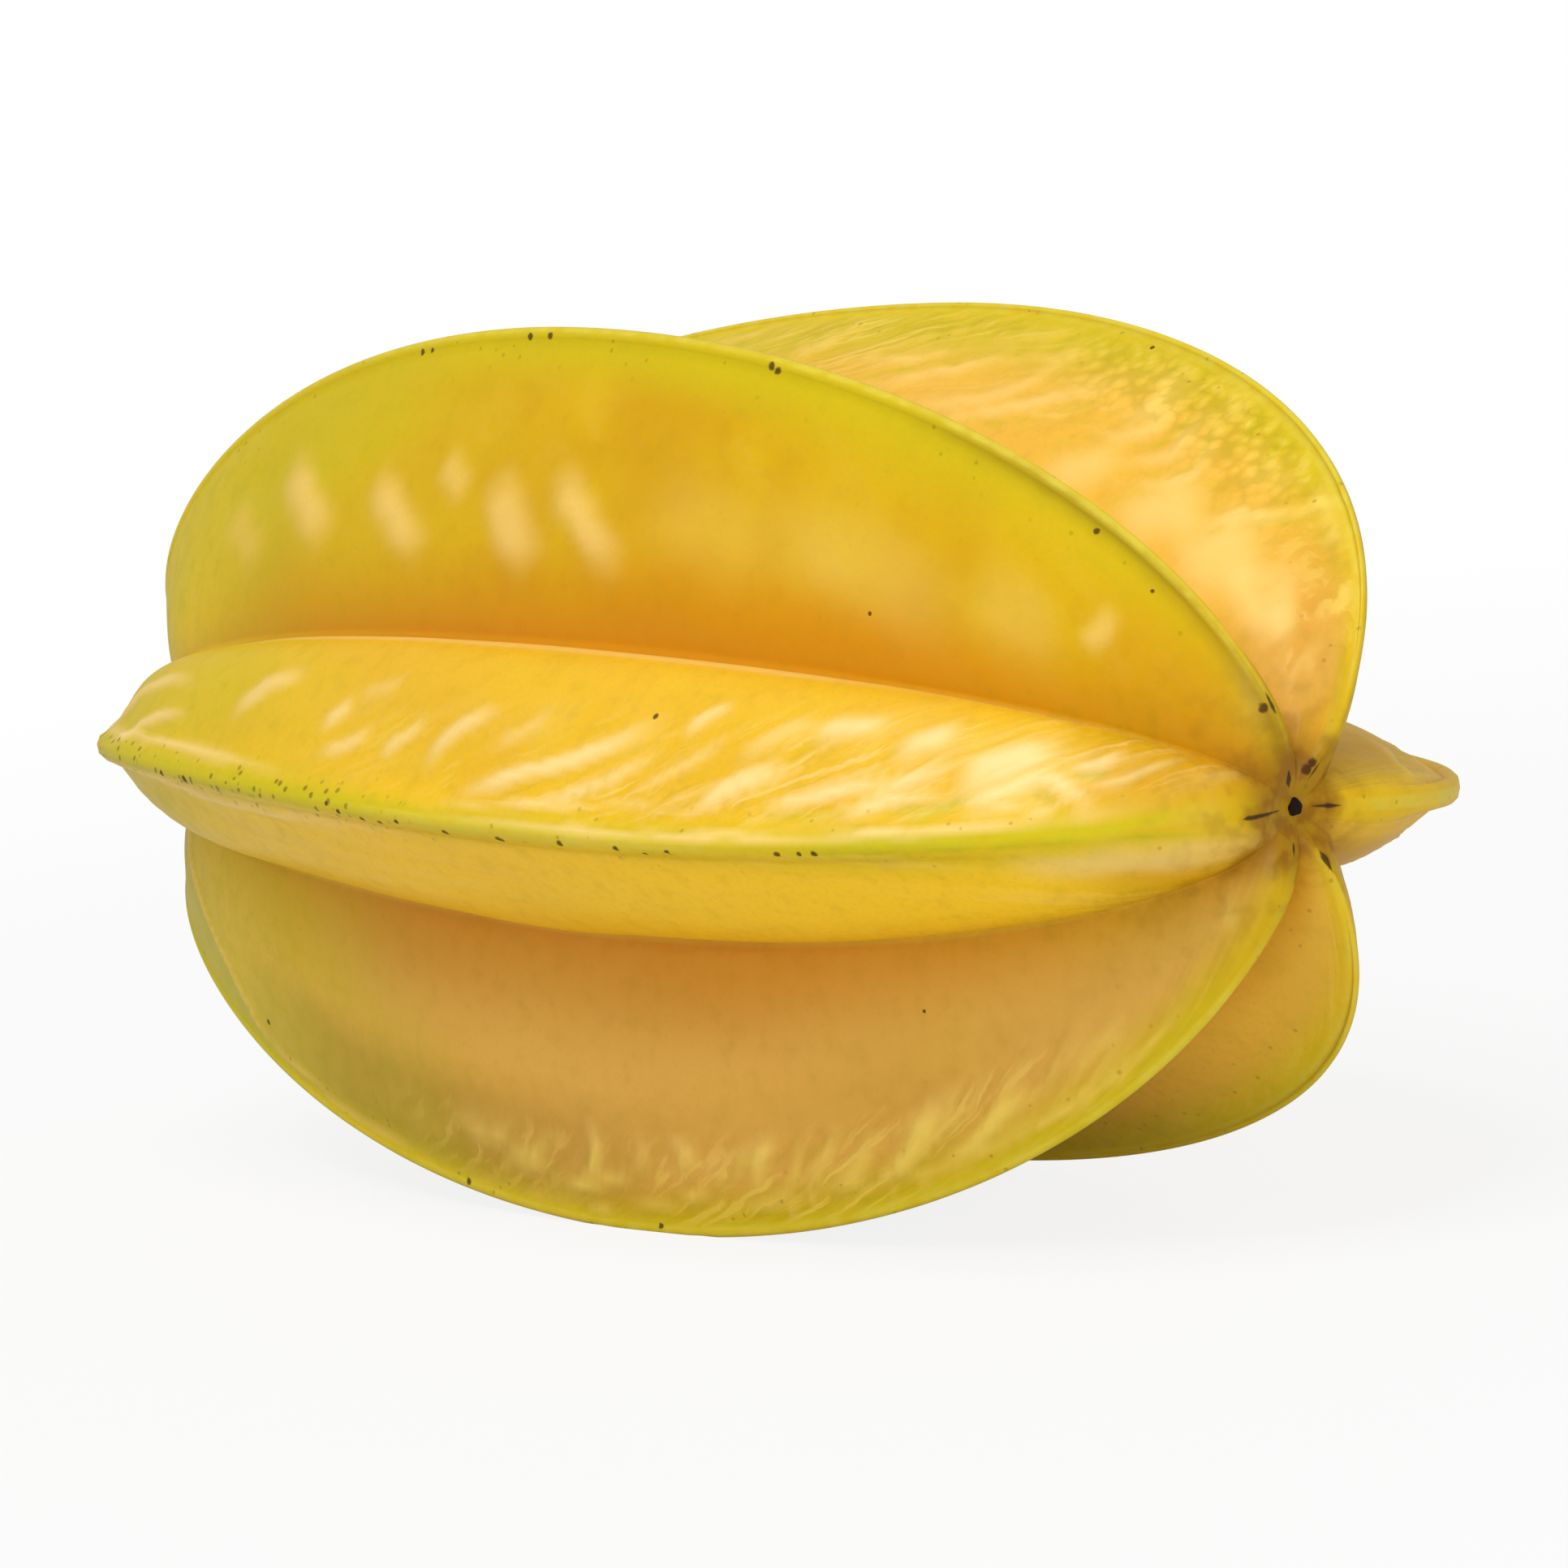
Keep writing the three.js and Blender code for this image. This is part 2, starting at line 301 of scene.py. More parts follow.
# %% Listed ridges, in millimetres
RIDGES = {  # x, run at the start; x, run at the end; bow; half width; strength, below 0 for a vein
    (FRONT, -1): (
        (-52, 3.0, -40, 7.5, 1.0, 0.6, 0.6), (-47, 1.6, -38, 4.6, 0.5, 0.5, 0.7),
        (-28.1, 6.3, -22.3, 9.9, 0.4, 0.9, 0.6), (-16.1, 6.3, -13.9, 8.4, 0, 0.8, 0.65),
        (-12.7, 9.3, -8.9, 10.8, -0.2, 0.6, 0.3), (-14.4, 4.2, -10.6, 6.0, -0.3, 0.6, 0.6),
        (-7.5, 5.0, -4.3, 7.2, -0.2, 0.7, 0.65), (-1.6, 5.0, 3.0, 8.8, 0.6, 0.7, 0.75),
        (5.3, 3.2, 18.0, 8.1, -0.2, 0.7, 1.0), (5.4, 6.8, 9.4, 9.3, -0.2, 0.6, 0.4),
        (13.4, 3.0, 20.4, 6.5, -0.5, 0.5, 0.5), (20.7, 4.1, 25.7, 7.4, -0.2, 0.5, 0.5),
        (23.0, 8.7, 25.5, 10.6, 0.1, 0.6, 0.8), (26.8, 3.5, 31.2, 5.8, 0.1, 0.7, 0.9),
        (28.7, 7.0, 32.9, 9.1, 0.4, 0.8, 0.5), (33.9, 8.4, 37.9, 9.0, 0.1, 1.0, 0.9),
        (40.5, 7.0, 43.4, 8.2, 0, 1.0, 0.9), (45.7, 5.0, 50.2, 6.5, 0.1, 1.2, 1.0),
        (47.0, 2.8, 51.0, 4.4, 0.1, 0.8, 0.9), (51.0, 4.4, 53.8, 2.4, 0, 0.5, 0.8),
        (52.2, 4.9, 54.6, 5.5, -0.2, 0.6, 0.8), (36.8, 4.2, 43.3, 5.5, -0.4, 0.6, 0.6),
        (39.2, 2.7, 44.1, 3.4, 0.1, 0.5, 0.8), (33.0, 3.1, 37.5, 4.2, 0.1, 0.5, 0.5),
        (3.1, 1.6, 25.7, 2.7, 0.2, 0.3, 0.5), (48.2, 2.3, 52.2, 1.8, 0.3, 0.4, 0.6),
        (53.9, 3.6, 57.3, 4.6, -0.3, 0.5, 0.5),
        (42.3, 2.3, 50.7, 5.1, -0.7, 0.4, -0.8), (49.7, 3.8, 52.7, 1.8, 0.3, 0.3, -0.6),
        (52.4, 4.1, 54.2, 4.4, -0.1, 0.3, -0.7), (32.7, 2.2, 43.2, 2.8, 0.2, 0.3, -0.5),
        (8, 0.5, 40, 0.7, 0, 0.3, 0.7), (38, 0.8, 55, 1.4, 0, 0.3, 0.6),
        (38, 0.1, 60, 0.6, 0, 0.5, -0.9), (-50, 0.3, -5, 0.3, 0, 0.7, -0.6),
        (-56, 1.7, -24, 2.0, 0.3, 0.4, 0.6),
    ),
    (FRONT, 1): (
        (38, 0.1, 60, 0.2, 0, 0.5, -0.9), (-47, 1.5, -12, 2.6, 0.6, 0.4, 0.6),
        (-50, 0.2, -5, 0.2, 0, 0.5, -0.6), (50, 3.0, 60.5, 2.0, 0, 1.2, 0.5),
    ),
    (UPPER_FRONT, 1): (
        (-31.2, 7.2, -25.2, 13.2, 0.2, 1.6, 0.7), (-18.3, 11.3, -12.4, 16.0, 0.2, 1.5, 0.7),
        (-10.4, 10.3, -7.2, 12.6, 0, 1.2, 0.5), (-3.5, 12.4, 1.0, 17.3, 0.2, 1.7, 0.7),
        (3.5, 11.9, 9.9, 16.7, 0.2, 1.5, 0.7), (-39.9, 7.4, -35.2, 12.6, 0, 1.5, 0.3),
        (52.4, 5.9, 51.3, 9.1, 0, 0.7, 0.55), (14, 12.5, 24, 13.5, 0, 3.2, 0.14),
        (26, 12.2, 40, 12.8, -0.3, 3.2, 0.2), (42.9, 10.4, 48.5, 9.7, 0.1, 2.6, 0.2),
    ),
    (UPPER_BACK, 1): (
        (-16.3, 2.4, -10.2, 2.1, -0.2, 0.3, 0.6), (-6.3, 5.8, -2.3, 2.6, 0.8, 0.7, 0.6),
        (1.9, 7.5, 9.9, 6.4, 0.3, 0.5, 0.6), (7.5, 9.9, 16.1, 6.1, 0.3, 0.6, 0.5),
        (12.8, 11.7, 22.7, 7.0, 1.0, 0.7, 0.6), (16.3, 12.7, 28.5, 7.1, 0.3, 0.6, 0.7),
        (21.7, 6.0, 23.9, 4.2, -0.1, 0.9, 0.5), (33.9, 7.7, 34.2, 3.8, 0.8, 1.1, 0.9),
        (32.9, 9.9, 36.5, 4.7, 1.3, 0.7, 0.7), (36.5, 11.1, 39.3, 5.1, 1.4, 0.6, 0.6),
        (38.1, 12.3, 41.4, 4.8, 2.4, 0.5, 0.5), (29.7, 15.0, 34.8, 11.4, 0.4, 1.7, 0.7),
        (39.0, 15.1, 44.0, 10.3, 0.3, 2.0, 0.8), (45.4, 14.6, 50.9, 9.3, 0.5, 2.6, 0.75),
        (51.6, 13.1, 55.5, 7.6, 0.8, 1.6, 0.7), (58.2, 11.1, 59.1, 6.4, 0, 0.4, 0.3),
        (46.7, 10.3, 54.2, 1.1, 0.5, 0.4, 0.6), (45.5, 12.5, 51.7, 5.7, 0, 0.3, -0.6),
        (35.2, 9.7, 37.2, 3.7, 2.1, 0.3, -0.5), (38.0, 11.6, 40.2, 3.7, 2.5, 0.3, -0.5),
        (44.1, 5.5, 43.4, 2.1, 0.5, 0.3, -0.5), (47.2, 5.0, 47.5, 1.9, 0, 0.3, -0.5),
        (37.2, 14.7, 44.6, 8.3, -0.5, 0.3, -0.5), (19.2, 12.6, 29.1, 7.9, 0.6, 0.3, -0.5),
        (4.1, 9.1, 13.9, 6.6, 0.1, 0.3, -0.4),
    ),
    (LOWER_FRONT, -1): (
        (-52, 9.6, -45.6, 5.7, 0, 0.35, 0.8), (-45.6, 5.7, -41.3, 2.6, 0, 0.35, 0.7),
        (-41.3, 2.6, -31, 1.7, -0.1, 0.3, 0.6), (-31, 1.7, -20, 1.1, 0, 0.3, 0.6),
        (-20, 1.1, -6, 1.2, 0, 0.3, 0.5),
        (-12.4, 4.8, -9.3, 6.2, 0, 0.8, 0.4), (-8.6, 4.3, -4.8, 4.6, -0.1, 1.1, 0.6),
        (-3.0, 3.2, 3.6, 4.3, -0.1, 0.5, 0.8), (0.2, 4.3, 1.0, 7.9, -0.4, 0.7, 0.6),
        (-8.7, 1.8, -3.3, 2.2, -0.1, 0.3, 0.5), (-1.4, 1.8, 6.3, 2.3, -0.2, 0.3, 0.7),
        (6.3, 2.3, 13.8, 3.8, -0.1, 0.3, 0.5), (9.6, 4.8, 9.9, 7.5, -0.7, 1.0, 0.6),
        (5.4, 4.8, 6.1, 7.4, -0.4, 0.7, 0.4), (17.0, 3.8, 18.9, 6.6, 0.2, 0.7, 0.7),
        (18.5, 2.6, 21.6, 6.1, -0.5, 0.5, 0.5), (21.7, 3.5, 24.8, 6.2, -0.6, 0.5, 0.5),
        (24.6, 2.8, 28.5, 5.4, -0.1, 0.7, 0.7), (29.3, 2.8, 33.6, 6.0, -0.2, 0.7, 0.7),
        (35.1, 2.6, 39.4, 4.4, -0.3, 0.5, 0.7), (37.4, 2.9, 41.5, 4.8, -0.2, 0.6, 0.8),
        (25.7, 1.8, 38.9, 2.2, -0.2, 0.3, 0.6), (13.9, 2.0, 26.2, 3.0, -0.1, 0.3, 0.5),
        (40.1, 2.1, 45.9, 2.0, -0.1, 0.3, 0.7), (46, 4.4, 50, 4.6, 0, 0.7, 0.4),
        (48, 1.6, 53, 2.2, 0, 0.4, 0.5), (58.2, 4.6, 58.8, 2.6, 0, 0.4, 0.5),
    ),
    (BACK, 1): (
        (54.5, 10.0, 59.6, 3.6, 0.4, 0.35, 0.9), (59.4, 3.5, 54.0, 1.9, 0, 0.35, 0.7),
    ),
    (BACK, -1): (
        (52.5, 12.5, 55.2, 7.8, 0, 0.35, 0.4), (55.2, 7.8, 58.6, 4.6, 0.2, 0.35, 0.5),
        (58.6, 4.6, 57.4, 2.0, 0, 0.35, 0.5),
    ),
}
RIDGE_HEIGHT = 0.26


# %% Raise the listed ridges
def ridge(x, run, x0, run0, x1, run1, bow, width):
    """0 to 1: exp(-(off / width) ** 2.6) across the stroke, faded at both of its ends.

    off is how far a point is from the stroke's middle line, a parabola of height bow.
    """
    span_x, span_run = x1 - x0, run1 - run0
    length = math.hypot(span_x, span_run)
    t = ((x - x0) * span_x + (run - run0) * span_run) / length ** 2
    off = ((run - run0) * span_x - (x - x0) * span_run) / length - bow * 4 * t * (1 - t)
    return np.exp(-np.abs(off / width) ** 2.6) * fade(-0.3, 0.3, t) * (1 - fade(0.7, 1.3, t))


relief = np.zeros_like(skin["x"])
pale = np.zeros_like(skin["x"])
vein = np.zeros_like(skin["x"])

for flank_key, strokes in RIDGES.items():
    here = flank_is[flank_key]
    x = skin["x"][here] + 0.35 * noise(skin["x"][here] / 2.6, skin["run"][here] / 1.8, 77)
    run = skin["run"][here] + 0.25 * noise(skin["x"][here] / 2.3, skin["run"][here] / 1.4, 78)
    for *place, strength in strokes:
        amount = strength * ridge(x, run, *place)
        relief[here] += RIDGE_HEIGHT * amount
        # A raised ridge is pale: partly its own paler skin, partly a painted highlight.
        pale[here] += np.maximum(amount, 0)
        vein[here] += np.maximum(-amount, 0)
print(sum(len(strokes) for strokes in RIDGES.values()), "listed ridges")

# %% [markdown]
# The finer ridges follow the same slant. A line's name is `flow`, the x where it would meet the
# crest: x - bend * run ** power is the same all along it. The bend goes from `bend` to `late`
# towards the blossom end. Noise that is narrow in `flow` and long in `run` gives ridges that
# differ from each other as real ones do.
#
# `width`, `length` and `height` are a ridge's own sizes. The ridges lie between a run of `near`
# and one of `far`, and the last field is how much they pale the skin, partly as paler skin and
# partly as a painted highlight. Two flanks are smooth at the stalk end.

# %% Finer ridges that fan out from each crest
Fan = namedtuple("Fan", "bend late power width length height near far pale")
FANS = {
    (FRONT, -1): Fan(3.2, 3.2, 0.8, 1.7, 4.0, 0.10, 1.6, 10.5, 0.4),
    (FRONT, 1): Fan(8.3, 8.3, 1.0, 9.0, 20.0, 0.06, 0.5, 12.0, 0.1),
    (UPPER_FRONT, -1): Fan(3.2, 3.2, 0.8, 2.2, 5.0, 0.16, 1.6, 10.0, 0.6),
    (UPPER_FRONT, 1): Fan(1.6, 1.6, 0.9, 4.5, 7.0, 0.04, 2.0, 18.0, 0.04),
    (UPPER_BACK, 1): Fan(-2.3, -0.4, 1.0, 1.5, 5.0, 0.14, 1.2, 12.0, 0.6),
    (UPPER_BACK, -1): Fan(2.4, 2.4, 0.8, 2.0, 5.0, 0.15, 1.5, 11.0, 0.7),
    (BACK, 1): Fan(2.4, 2.4, 0.8, 2.0, 5.0, 0.12, 1.5, 9.0, 0.3),
    (BACK, -1): Fan(2.4, 2.4, 0.8, 2.0, 5.0, 0.12, 1.5, 9.0, 0.3),
    (LOWER_BACK, 1): Fan(2.4, 2.4, 0.8, 2.0, 5.0, 0.12, 1.3, 9.0, 0.6),
    (LOWER_BACK, -1): Fan(2.0, 2.0, 0.8, 1.6, 4.0, 0.08, 1.2, 5.0, 0.25),
    (LOWER_FRONT, 1): Fan(2.4, 2.4, 0.8, 2.0, 5.0, 0.14, 1.3, 9.0, 0.6),
    (LOWER_FRONT, -1): Fan(7.0, 12.0, 0.35, 1.5, 3.4, 0.16, 0.7, 7.5, 0.65),
}
SMOOTH_AT_STALK = (FRONT, -1), (LOWER_FRONT, -1)

skin["flow"] = np.zeros_like(skin["x"])
skin["streak"] = np.zeros_like(skin["x"])

for seed, (flank_key, fan) in enumerate(FANS.items()):
    here = flank_is[flank_key]
    x, run = skin["x"][here], skin["run"][here]
    bend = fan.bend + (fan.late - fan.bend) * fade(5, 40, x)
    flow = x - bend * run ** fan.power + 0.9 * noise(x / 5, run / 3, 40 + seed)
    ridges = noise(flow / fan.width, run / fan.length, seed)
    ridges = ridges + 0.5 * noise(flow / fan.width * 2.3, run / fan.length * 2.1, 20 + seed)
    ridges = fade(-0.1, 0.9, ridges)
    strength = fade(0.4 * fan.near, 2.2 * fan.near, run)
    strength *= 1 - fade(0.6 * fan.far, 1.15 * fan.far, run)
    strength *= 1 - fade(0.86, 1.0, skin["share"][here])
    strength *= 0.3 + 0.7 * fade(-0.5, 0.4, noise(x / 13, run / 7, 60 + seed))
    if flank_key in SMOOTH_AT_STALK:
        strength *= fade(-30, 0, x)
    if flank_key == (LOWER_FRONT, -1):
        strength *= 1 - 0.8 * fade(44, 52, x)
    relief[here] += fan.height * ridges * strength
    pale[here] += fan.pale * ridges * strength
    skin["flow"][here] = flow / fan.width
    skin["streak"][here] = strength * fan.pale

print("ridges stand up to", round(float(relief.max()), 2), "mm")

# %% [markdown]
# Where the front rib's upper flank rolls over into its groove, a pale line beside the groove is a
# painted highlight on that rounded edge. Over all of the skin lies a slow unevenness, a quarter of
# a millimetre or so, which keeps reflections from running as straight as on a machined part.

# %% Painted highlight by the groove, and slow unevenness
beside_groove = fade(0.86, 0.92, skin["share"]) * flank_is[FRONT, -1]
# Painted highlight: a pale line beside the front rib's groove.
pale += 0.4 * beside_groove * fade(-46, -30, skin["x"]) * (1 - fade(24, 46, skin["x"]))
pale = np.clip(pale, 0, 1)
flank_number = skin["rib"] * 2 + (skin["side"] > 0)
slow = noise(skin["x"] / 13, skin["run"] / 8 + flank_number * 7, 101)
relief += 0.22 * slow * fade(0, 5, skin["run"])
relief *= fade(3.0, 12.0, skin["radius"])
print("relief from", relief.min().round(2), "to", relief.max().round(2), "mm")

# %% [markdown]
# ## Lay it down
#
# The formula makes the fruit about its own axis. It is moved and scaled to fill the packed
# solid's box, then its points are pushed out along their normals by the relief. What would reach
# under the table is pressed flat, as the ripe flesh gives a little where the fruit lies.

# %% Fit the grid to the solid's box and raise the relief
REST_FLAT = 0.25


def grid_normals(points, inside):
    """Unit normals of a grid that closes round its columns: the cross of its two slopes."""
    down = np.gradient(points, axis=0)
    around = np.roll(points, -1, axis=1) - np.roll(points, 1, axis=1)
    normal = np.cross(down, around)
    normal /= np.maximum(np.linalg.norm(normal, axis=-1, keepdims=True), 1e-9)
    return normal * np.sign(((points - inside) * normal).sum())


points = np.stack([skin["x"], skin["y"], skin["z"]], axis=-1)
raw_middle = (points.min((0, 1)) + points.max((0, 1))) / 2
raw_length = np.ptp(points[..., 0])
solid_low, solid_high = np.array(cad_low) / MM, np.array(cad_high) / MM
scale = (solid_high[0] - solid_low[0]) / raw_length
raw_shift = (solid_low + solid_high) / 2
raw_shift[2] = solid_low[2] - REST_FLAT - scale * (points[..., 2].min() - raw_middle[2])
points = (points - raw_middle) * scale + raw_shift
fruit_middle = points.mean((0, 1))
points += relief[..., None] * grid_normals(points, fruit_middle)
points[..., 2] = np.maximum(points[..., 2], solid_low[2])
print("scale", round(scale, 4), "box", points.min((0, 1)).round(2), points.max((0, 1)).round(2))


# %% Put a grid into a mesh
def grid_mesh(name, points, attributes):
    """A closed mesh of quads from a grid, with a fan of triangles round each end's middle."""
    rows, columns = points.shape[:2]
    vertices = np.concatenate([points.reshape(-1, 3), points[:1].mean(1), points[-1:].mean(1)])
    row = np.arange(rows - 1)[:, None] * columns
    column = np.arange(columns)[None, :]
    after = (column + 1) % columns
    quads = np.stack([row + column, row + columns + column, row + columns + after, row + after], -1)
    quads = quads.reshape(-1, 4)
    first, last = rows * columns, rows * columns + 1
    edge, next_edge, last_ring = column[0], after[0], first - columns
    start = np.stack([np.full(columns, first), edge, next_edge], -1)
    end = np.stack([np.full(columns, last), last_ring + next_edge, last_ring + edge], -1)
    faces = [*quads.tolist(), *start.tolist(), *end.tolist()]
    mesh = bpy.data.meshes.new(name)
    mesh.from_pydata((vertices * MM).tolist(), [], faces)
    mesh.polygons.foreach_set("use_smooth", np.ones(len(faces), bool))
    for key, values in attributes.items():
        layer = mesh.attributes.new(key, "FLOAT", "POINT")
        ends = [values[0].mean(), values[-1].mean()]
        layer.data.foreach_set("value", np.concatenate([values.ravel(), ends]).astype(np.float32))
    mesh.update()
    piece = bpy.data.objects.new(name, mesh)
    bpy.context.collection.objects.link(piece)
    print(name, "has", len(vertices), "points and", 2 * len(quads) + 2 * columns, "triangles")
    return piece


# %% [markdown]
# ## Where each colour goes
#
# A star fruit ripens from green to yellow, the flanks first. The skin under the crests and the
# stalk end stay greenish longest, and the flesh in the grooves, where the skin is thin over the
# seeds, looks orange; that orange is also painted shade in the creases. Some flanks also get a
# bright yellow that is painted light where they lie in less light. Each of these is a share from 0
# to 1 at every grid point, kept as a mesh attribute, so that the material can blend colours by it
# in any view.
#
# For each flank, `stalk_reach`, `reach` and `blossom_reach` are how far the green goes below the
# crest at the stalk end, in the middle and at the blossom end. The last four fields are how strong
# the green, the orange in the groove, the dull flesh tone and the bright yellow are. The orange is
# partly painted shade in the grooves, and the bright yellow is painted light on flanks that lie in
# less light.

# %% Shares of green, orange with painted shade, flesh and painted light
x, run, share = skin["x"], skin["run"], skin["share"]
patches = noise(x / 16, run / 9 + flank_number * 5, 201)
stalk_end = 1 - fade(-52, -4, x + 6 * patches)

Tint = namedtuple("Tint", "stalk_reach reach blossom_reach under orange flesh light")
TINTS = {  # how far the green goes below the crest along the fruit, then how strong each colour is
    (LOWER_FRONT, -1): Tint(18.0, 3.0, 3.5, 0.75, 0.7, 0.8, 0.1),
    (LOWER_FRONT, 1): Tint(11.0, 3.0, 3.5, 0.8, 0.5, 0.6, 0.2),
    (LOWER_BACK, -1): Tint(8.0, 3.4, 4.6, 0.7, 0.7, 0.5, 1.0),
    (LOWER_BACK, 1): Tint(9.0, 4.5, 5.0, 0.7, 0.5, 0.4, 0.4),
    (BACK, -1): Tint(8.0, 2.4, 2.4, 0.6, 0.3, 0.3, 1.0),
    (BACK, 1): Tint(8.0, 2.4, 2.4, 0.6, 0.15, 0.0, 1.0),
    (UPPER_BACK, -1): Tint(8.0, 4.0, 4.0, 0.6, 0.6, 0.3, 0.4),
    (UPPER_BACK, 1): Tint(12.0, 8.0, 4.5, 0.75, 0.05, 0.45, 0.55),
    (UPPER_FRONT, -1): Tint(12.0, 5.0, 6.0, 0.7, 0.6, 0.2, 0.2),
    (UPPER_FRONT, 1): Tint(17.0, 3.6, 5.0, 0.75, 1.0, 0.0, 0.0),
    (FRONT, -1): Tint(6.0, 1.6, 1.6, 0.6, 0.15, 0.15, 0.46),
    (FRONT, 1): Tint(5.0, 2.0, 3.5, 0.6, 0.35, 0.0, 1.0),
}
green = np.zeros_like(x)
orange = np.zeros_like(x)
flesh = np.zeros_like(x)
# Painted light: a share of bright yellow where a flank lies in less light.
light = np.zeros_like(x)
for flank_key, tint in TINTS.items():
    here = flank_is[flank_key]
    reach = tint.reach + (tint.stalk_reach - tint.reach) * stalk_end[here]
    reach += (tint.blossom_reach - tint.reach) * fade(10, 40, x[here])
    green[here] = tint.under * (1 - fade(0.3, 1.5, run[here] / reach + 0.25 * patches[here]))
    # Orange in the groove: the flesh's own colour, and painted shade in the crease.
    orange[here] = tint.orange * fade(0.5, 1.0, share[here] + 0.12 * patches[here])
    flesh[here] = tint.flesh * fade(0.5, 5.0, run[here]) * (1 + 0.2 * patches[here])
    light[here] = tint.light * (1 - 0.6 * fade(50, 58, x[here])) + 0.1 * patches[here]
    if flank_key[0] in (UPPER_BACK, UPPER_FRONT, FRONT):
        orange[here] += 0.45 * fade(48, 58, x[here]) * fade(0.5, 4, run[here])
green = np.maximum(green, 0.7 * stalk_end * (1 - 0.4 * fade(0.5, 1.0, share)))
green = np.maximum(green, 0.3 * (1 - fade(6, 15, skin["radius"])) * (x > 0))
print("mean shares: green", green.mean().round(2), "orange", orange.mean().round(2))

# %% [markdown]
# Some marks belong to one rib alone. The lower front rib has a bright green strip along the
# stalk half of its crest. Below that lies a painted shade in dull olive, and the flank gets painted
# light at the stalk end. The upper front rib has the same painted shade under its crest near the
# blossom end, and painted light at its stalk end. The upper back rib is pebbled beside its crest,
# and the front rib is freckled.
#
# `cream` picks the hue of the pale streaks, which are partly painted highlights: lemon near a
# crest, peach further down, and cream on the front rib. `band` is where a crest has a lighter line
# along it, partly its own colour and partly a painted highlight, and `rim` is the bronze ring round
# the flower's scar.

# %% Marks of single ribs
low_flank = flank_is[LOWER_FRONT, -1]
high_flank = flank_is[UPPER_FRONT, 1]

strip_end = 0.8 + 6.8 * fade(-36, -52, x)  # the run at which the green strip ends
strip = (1 - fade(-0.5, 0.3, run - strip_end)) * (1 - fade(-30, -5, x)) * low_flank
green = np.maximum(green, strip)
green *= 1 - 0.6 * fade(52, 60, x)
green = np.clip(green * (1 - 0.7 * pale) + 0.9 * vein, 0, 1)
orange *= fade(-50, -20, x) * (1 - 0.7 * pale)

# Painted shade in olive: low along the lower front rib's crest, and under the upper front crest.
painted_shade = (0.15 + 0.25 * (1 - fade(-8, 14, x))) * low_flank
painted_shade *= fade(1, 3, run) * (1 - fade(7, 12, run)) * fade(-46, -24, x)
painted_shade += 0.5 * (1 - fade(0.8, 3, run + 0.5 * patches)) * fade(30, 48, x) * high_flank
# Painted light: brighter yellow at the stalk end of both front flanks.
light += 1.2 * (1 - fade(-52, -28, x)) * low_flank
light += 1.0 * (1 - fade(-56, -30, x)) * high_flank
flesh *= 1 - 0.7 * (1 - fade(-50, -12, x)) * low_flank

on_front = skin["rib"] == FRONT
cream = np.where(on_front, 1, 0.5 * fade(3, 10, run))
band = np.where(on_front, 1 - 0.75 * fade(22, 34, x) - 0.8 * (1 - fade(-16, 0, x)), 1)
freckles = on_front * (1 - fade(-14, 2, x)) * (1 - fade(1.0, 1.8, skin["across"]))
pebbles = fade(18, 30, x) * (1 - fade(46, 54, x)) * flank_is[UPPER_BACK, 1]
pebbles *= fade(0.8, 2.0, run) * (1 - fade(5, 10, run + 2 * patches))
narrow_rim = flank_is[LOWER_BACK, -1] | flank_is[BACK, 1] | flank_is[BACK, -1]
rim = (1 - fade(2, np.where(narrow_rim, 8, 14), skin["radius"])) * (x > 0)
print("mean shares: shade", painted_shade.mean().round(3), "pebbles", pebbles.mean().round(3))

# %% [markdown]
# The flower's petals left a short dark dash on each crest, close to the dried tip.

# %% Dashes, and the finished piece
DASHES = (  # rib, how far from the axis a dark line along its crest starts and ends, and its width
    (LOWER_FRONT, 2.5, 3.4, 0.8), (LOWER_BACK, 3.3, 4.8, 1.2), (BACK, 2.2, 3.6, 0.8),
    (UPPER_BACK, 2.3, 3.0, 1.0), (UPPER_FRONT, 1.5, 2.3, 1.8), (UPPER_FRONT, 7.3, 8.7, 0.8),
    (FRONT, 1.5, 5.4, 0.7),
)
dash = np.zeros_like(x)
for index, start, end, width in DASHES:
    here = (skin["rib"] == index) & (x > 0)
    away = skin["crest_radius"][here]
    begun = fade(start - 0.3, start + 0.2, away)
    dash[here] += width * begun * (1 - fade(end - 0.3, end + 0.3, away))

fruit = grid_mesh("star_fruit_skin", points, {
    "green": green, "orange": orange, "flesh": flesh, "light": light, "painted_shade": painted_shade, "pale": pale,
    "cream": cream, "dash": dash, "rim": rim, "pebbles": pebbles, "band": band,
    "freckles": freckles, "across": skin["across"], "run": run, "flow": skin["flow"],
    "streak": skin["streak"],
})
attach(fruit, "root")
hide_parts("star_fruit")

# %% [markdown]
# ## Shader maths in Python
#
# A material is a graph of nodes. Long sums are easier to read as Python, so a small class wraps
# one socket, and each operator on it adds a Math node. Every other node comes from one method,
# which sets the node's own settings first and then fills its sockets with numbers or links.


# %% The two helpers
class Value:
    """A number that changes over a surface, from one socket of the node tree."""

    def __init__(self, paint, socket):
        self.paint, self.socket = paint, socket

    def math(self, operation, *inputs):
        return self.paint.node("ShaderNodeMath", {"operation": operation}, dict(enumerate(inputs)))

    def __add__(self, other):
        return self.math("ADD", self, other)

    def __sub__(self, other):
        return self.math("SUBTRACT", self, other)

    def __rsub__(self, other):
        return self.math("SUBTRACT", other, self)

    def __mul__(self, other):
        return self.math("MULTIPLY", self, other)

    def __truediv__(self, other):
        return self.math("DIVIDE", self, other)

    __radd__, __rmul__ = __add__, __mul__

    def least(self, other):
        return self.math("MINIMUM", self, other)

    def most(self, other):
        return self.math("MAXIMUM", self, other)

    def fade(self, low, high):
        """0 at low and 1 at high, smoothly."""
        sockets = {"Value": self, "From Min": low, "From Max": high}
        return self.paint.node("ShaderNodeMapRange", {"interpolation_type": "SMOOTHSTEP"}, sockets)


